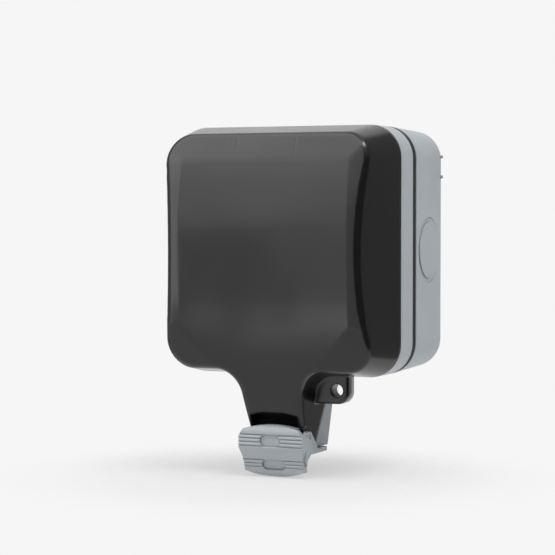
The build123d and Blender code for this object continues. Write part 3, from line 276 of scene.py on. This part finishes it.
# Lid
# A hollow black polycarbonate cover with a crowned panel between bevel facets, hung on the hinge pin.
# Its neck carries the latch, and soft seals in it close on the frame and round the cable.
# Deep black and half glossy. The panel is a little wavy, its facets meet in crisp creases, and ribs
# inside the top edge and the sides leave shallow sink marks.
lid_plastic = moulded_plastic(
    "black_polycarbonate", pale="#131314", deep="#111112", roughness=0.21,
    grain_mm=0.8, grain_height_mm=0.002, flow_mm=40.0)
lid_tree = lid_plastic.node_tree
on_lid = add(lid_tree, "ShaderNodeTexCoord").outputs["Object"]
along = add(lid_tree, "ShaderNodeSeparateXYZ", {"Vector": on_lid}).outputs
across = add(lid_tree, "ShaderNodeMath", {0: along["X"]}, operation="ABSOLUTE").outputs["Value"]
squared = add(lid_tree, "ShaderNodeMath", {0: along["Z"], 1: 2.0}, operation="POWER").outputs["Value"]
neck_top = -51.5 * MM
above_neck = add(lid_tree, "ShaderNodeMath", {0: along["Z"], 1: neck_top},
                 operation="MAXIMUM").outputs["Value"]
folded = add(lid_tree, "ShaderNodeCombineXYZ",
             {"X": across, "Y": above_neck, "Z": squared}).outputs["Vector"]
# Weights of the distance across, the height and its square, and the crease's place in millimetres, for
# the facets at the sides, at the top and beside the neck. Each falls back further beyond its crease
creases = (((1.0, 0.0, 0.7), 36.1), ((0.0, 1.0, 0.0), 36.0), ((0.375, -0.447, 0.0), 27.8))
crease_fall = 0.06
beyond = 0.0
for weights, crease_mm in creases:
    distance = add(lid_tree, "ShaderNodeVectorMath", {0: folded, 1: weights}, operation="DOT_PRODUCT")
    past = add(lid_tree, "ShaderNodeMath", {0: distance.outputs["Value"], 1: crease_mm * MM},
               operation="SUBTRACT")
    beyond = add(lid_tree, "ShaderNodeMath", {0: past.outputs["Value"], 1: beyond},
                 operation="MAXIMUM").outputs["Value"]
relief = add(lid_tree, "ShaderNodeMath", {0: beyond, 1: -crease_fall},
             operation="MULTIPLY").outputs["Value"]
# Sink marks keep to the front and fade out towards the walls
mark_front = -67.0 * MM
mark_back = -61.0 * MM
forward = add(lid_tree, "ShaderNodeMapRange", {
    "Value": along["Y"], "From Min": mark_front, "From Max": mark_back, "To Min": 1.0, "To Max": 0.0})
sink_depth = 0.05 * MM
growth_mm = 8.0
# Each mark's line and half width, and the direction in which it runs and its start, in millimetres
for line, line_mm, half_width, run, start_mm in (
        (across, 12.5, 0.7, along["Z"], 36.5), (along["Z"], -0.8, 0.9, across, 37.0)):
    aside = add(lid_tree, "ShaderNodeMath", {0: line, 1: line_mm * MM}, operation="SUBTRACT")
    aside = add(lid_tree, "ShaderNodeMath", {0: aside.outputs["Value"]}, operation="ABSOLUTE")
    dip = add(lid_tree, "ShaderNodeMapRange", {
        "Value": aside.outputs["Value"], "From Min": 0.0, "From Max": half_width * MM,
        "To Min": sink_depth, "To Max": 0.0}, interpolation_type="SMOOTHSTEP")
    growing = add(lid_tree, "ShaderNodeMapRange", {
        "Value": run, "From Min": start_mm * MM, "From Max": (start_mm + growth_mm) * MM,
        "To Min": 0.2, "To Max": 1.0})
    begun = add(lid_tree, "ShaderNodeMath", {0: run, 1: start_mm * MM}, operation="GREATER_THAN")
    mark = dip.outputs["Result"]
    for part in (growing.outputs["Result"], begun.outputs["Value"], forward.outputs["Result"]):
        mark = add(lid_tree, "ShaderNodeMath", {0: mark, 1: part}, operation="MULTIPLY").outputs["Value"]
    relief = add(lid_tree, "ShaderNodeMath", {0: relief, 1: mark}, operation="SUBTRACT").outputs["Value"]
wave_mm = 45.0
wave_height = 1.0 * MM
wave = add(lid_tree, "ShaderNodeTexNoise", {"Vector": on_lid, "Scale": per_mm(wave_mm), "Detail": 1.0})
relief = add(lid_tree, "ShaderNodeMath", {0: wave.outputs["Fac"], 1: wave_height, 2: relief},
             operation="MULTIPLY_ADD").outputs["Value"]
# Polished rims round over without ripples, so normals are evened out over this distance
rim_reach = 1.6 * MM
soft_rim = add(lid_tree, "ShaderNodeBevel", {"Radius": rim_reach}, samples=8)
shaped = add(lid_tree, "ShaderNodeBump", {
    "Height": relief, "Strength": 1.0, "Distance": 1.0, "Normal": soft_rim.outputs["Normal"]})
lid_tree.links.new(shaped.outputs["Normal"], lid_tree.nodes["grain"].inputs["Normal"])
dress(lid_plastic, "lid")
dress(gasket_rubber, "lid_seal", "upper_cable_seal")


# Latch
# A grey acetal rocker on a steel pin through the lid's neck. Its ribbed pad is pressed to swing its
# hooked arms off the frame's tongue. Satin like the frame, with a finer grain
latch_plastic = moulded_plastic(
    "grey_acetal", pale="#9DA3A7", deep="#979DA2", roughness=0.42,
    grain_mm=0.6, grain_height_mm=0.004, flow_mm=15.0)
dress(latch_plastic, "latch")


# Floor
# A pale sweep just under the latch. It lights the object from below, and to the eye it fades into
# the background away from the object and is clear from underneath.
floor_y = -60.0 * MM
floor_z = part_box("latch")[0].z
floor_gap = 0.2 * MM
floor_radius = 0.6
floor_shape = bmesh.new()
bmesh.ops.create_circle(floor_shape, cap_ends=True, segments=64, radius=floor_radius)
bmesh.ops.translate(floor_shape, verts=floor_shape.verts, vec=(0.0, floor_y, floor_z - floor_gap))
floor_mesh = bpy.data.meshes.new("floor")
floor_shape.to_mesh(floor_mesh)
floor_shape.free()
floor = bpy.data.objects.new("floor", floor_mesh)
scene.collection.objects.link(floor)
floor.visible_glossy = False

floor_material, floor_tree, floor_shader, on_floor = new_material("pale_sweep")
to_eye = add(floor_tree, "ShaderNodeLightPath").outputs["Is Camera Ray"]
tone = add(floor_tree, "ShaderNodeMix", {
    "Factor": to_eye, 6: linear("#FAFAFA"), 7: linear("#8C8C8C")}, data_type="RGBA")
floor_glow = 0.52
glow = add(floor_tree, "ShaderNodeMath", {0: to_eye, 1: floor_glow}, operation="MULTIPLY")
floor_tree.links.new(tone.outputs[2], floor_shader.inputs["Base Color"])
floor_tree.links.new(glow.outputs["Value"], floor_shader.inputs["Emission Strength"])
floor_shader.inputs["Emission Color"].default_value = linear("#FFFFFF")
floor_shader.inputs["Roughness"].default_value = 0.9
floor_shader.inputs["Specular IOR Level"].default_value = 0.0
centred = add(floor_tree, "ShaderNodeMapping", {"Vector": on_floor, "Location": (0.0, -floor_y, -floor_z)})
reach = add(floor_tree, "ShaderNodeVectorMath", {0: centred.outputs["Vector"]}, operation="LENGTH")
fade_start = 30.0 * MM
fade_end = 120.0 * MM
fade = add(floor_tree, "ShaderNodeMapRange", {
    "Value": reach.outputs["Value"], "From Min": fade_start, "From Max": fade_end,
    "To Min": 1.0, "To Max": 0.0}, interpolation_type="SMOOTHSTEP")
underneath = add(floor_tree, "ShaderNodeNewGeometry").outputs["Backfacing"]
above = add(floor_tree, "ShaderNodeMath", {0: 1.0, 1: underneath}, operation="SUBTRACT")
seen_above = add(floor_tree, "ShaderNodeMath", {0: fade.outputs["Result"], 1: above.outputs["Value"]},
                 operation="MULTIPLY")
unseen = add(floor_tree, "ShaderNodeMath", {0: 1.0, 1: to_eye}, operation="SUBTRACT")
cover = add(floor_tree, "ShaderNodeMath", {0: seen_above.outputs["Value"], 1: unseen.outputs["Value"]},
            operation="MAXIMUM")
floor_tree.links.new(cover.outputs["Value"], floor_shader.inputs["Alpha"])
floor_mesh.materials.append(floor_material)


# Studio
# A pale room, a large soft lamp at the upper left and a smaller one above on the right. Cards stand
# round the object, bright ones at the left and in front and dark ones on the right and behind. Only
# glossy surfaces see them, and they grade the reflections in the black lid.
world = bpy.data.worlds.new("studio")
world.use_nodes = True
scene.world = world
world_tree = world.node_tree
world_tree.nodes.clear()
rays = add(world_tree, "ShaderNodeLightPath").outputs
seen = add(world_tree, "ShaderNodeMath", {0: rays["Is Camera Ray"], 1: rays["Is Glossy Ray"]},
           operation="MAXIMUM")
seen = add(world_tree, "ShaderNodeMath", {0: seen.outputs["Value"], 1: rays["Is Transmission Ray"]},
           operation="MAXIMUM")
ambient = add(world_tree, "ShaderNodeBackground", {"Color": linear("#FFFFFF"), "Strength": 0.3})
backdrop = add(world_tree, "ShaderNodeBackground", {"Color": linear("#F6F6F6"), "Strength": 1.0})
mixed = add(world_tree, "ShaderNodeMixShader", {
    0: seen.outputs["Value"], 1: ambient.outputs["Background"], 2: backdrop.outputs["Background"]})
add(world_tree, "ShaderNodeOutputWorld", {"Surface": mixed.outputs["Shader"]})

object_middle = Vector((0.0, -0.045, -0.01))


def bearing(turn, rise):
    """The direction turned right from the front and raised, both in degrees."""
    level = cos(radians(rise))
    return Vector((sin(radians(turn)) * level, -cos(radians(turn)) * level, sin(radians(rise))))


def facing_object(turn, rise, distance):
    """A matrix that puts a lamp or a card in a direction from the object and turns it to face it."""
    outward = bearing(turn, rise)
    facing = (-outward).to_track_quat("-Z", "Y").to_matrix().to_4x4()
    return Matrix.Translation(object_middle + distance * outward) @ facing


def softbox(name, turn, rise, distance, width, height, power):
    """A soft lamp that faces the object."""
    lamp = bpy.data.lights.new(name, "AREA")
    lamp.shape = "RECTANGLE"
    lamp.size = width
    lamp.size_y = height
    lamp.energy = power
    holder = bpy.data.objects.new(name, lamp)
    scene.collection.objects.link(holder)
    holder.matrix_world = facing_object(turn, rise, distance)


# Turn and rise in degrees, distance, width and height in metres, and power in watts
softbox("key_softbox", -40.0, 55.0, 1.4, 1.6, 1.4, 12.0)
softbox("top_softbox", 65.0, 56.0, 1.2, 0.7, 0.7, 12.0)

card_distance = 0.9


def card(name, turn, rise, width, height, brightness):
    """A card of a set brightness that only glossy surfaces see."""
    card_material, _, shader, _ = new_material(name)
    shader.inputs["Base Color"].default_value = linear("#000000")
    shader.inputs["Emission Color"].default_value = linear("#FFFFFF")
    shader.inputs["Emission Strength"].default_value = brightness
    card_shape = bmesh.new()
    bmesh.ops.create_grid(card_shape, x_segments=1, y_segments=1, size=0.5)
    bmesh.ops.scale(card_shape, verts=card_shape.verts, vec=(width, height, 1.0))
    bmesh.ops.transform(card_shape, matrix=facing_object(turn, rise, card_distance), verts=card_shape.verts)
    card_mesh = bpy.data.meshes.new(name)
    card_shape.to_mesh(card_mesh)
    card_shape.free()
    card_mesh.materials.append(card_material)
    holder = bpy.data.objects.new(name, card_mesh)
    scene.collection.objects.link(holder)
    holder.visible_camera = False
    holder.visible_shadow = False
    holder.visible_diffuse = False


# Turn and rise in degrees, width and height in metres, and brightness, where 1 is white
card("left_high_card", -51.0, 33.0, 0.62, 0.6, 3.0)
card("left_low_card", -48.0, 2.0, 0.5, 0.52, 2.3)
card("left_soft_card", -69.0, 2.0, 0.22, 0.9, 0.9)
card("far_left_card", -106.0, 10.0, 1.05, 1.6, 0.35)
card("upper_high_card", -24.0, 36.0, 0.24, 0.5, 2.4)
card("upper_low_card", -22.0, 13.0, 0.24, 0.2, 1.8)
card("front_card", -18.0, -5.0, 0.2, 0.36, 1.25)
card("front_left_card", -28.5, -6.0, 0.12, 0.44, 0.5)
card("low_card", -21.0, -20.0, 0.16, 0.12, 2.3)
card("right_high_card", 3.0, 32.0, 0.5, 0.6, 1.2)
card("right_low_card", 3.0, -4.0, 0.5, 0.6, 0.7)
card("side_card", 62.0, 15.0, 1.6, 1.8, 0.01)
card("rear_card", 130.0, 15.0, 1.1, 1.8, 0.22)


# Camera
# A long lens a little above the middle, to the right of the front.
view_turn = 24.51
back = bearing(view_turn, 2.065)
right = Vector((cos(radians(view_turn)), sin(radians(view_turn)), 0.0))
up = back.cross(right)
view_point = Vector((0.0, -0.042, 0.0))
view_distance = 0.77006
step_left = 0.007073
step_down = 0.010991
camera_place = view_point + view_distance * back - step_left * right - step_down * up
lens = bpy.data.cameras.new("camera")
lens.sensor_width = 36.0
lens.lens = 124.76
camera = bpy.data.objects.new("camera", lens)
scene.collection.objects.link(camera)
camera.matrix_world = Matrix.Translation(camera_place) @ Matrix((right, up, back)).transposed().to_4x4()
scene.camera = camera
scene.view_settings.view_transform = "Standard"
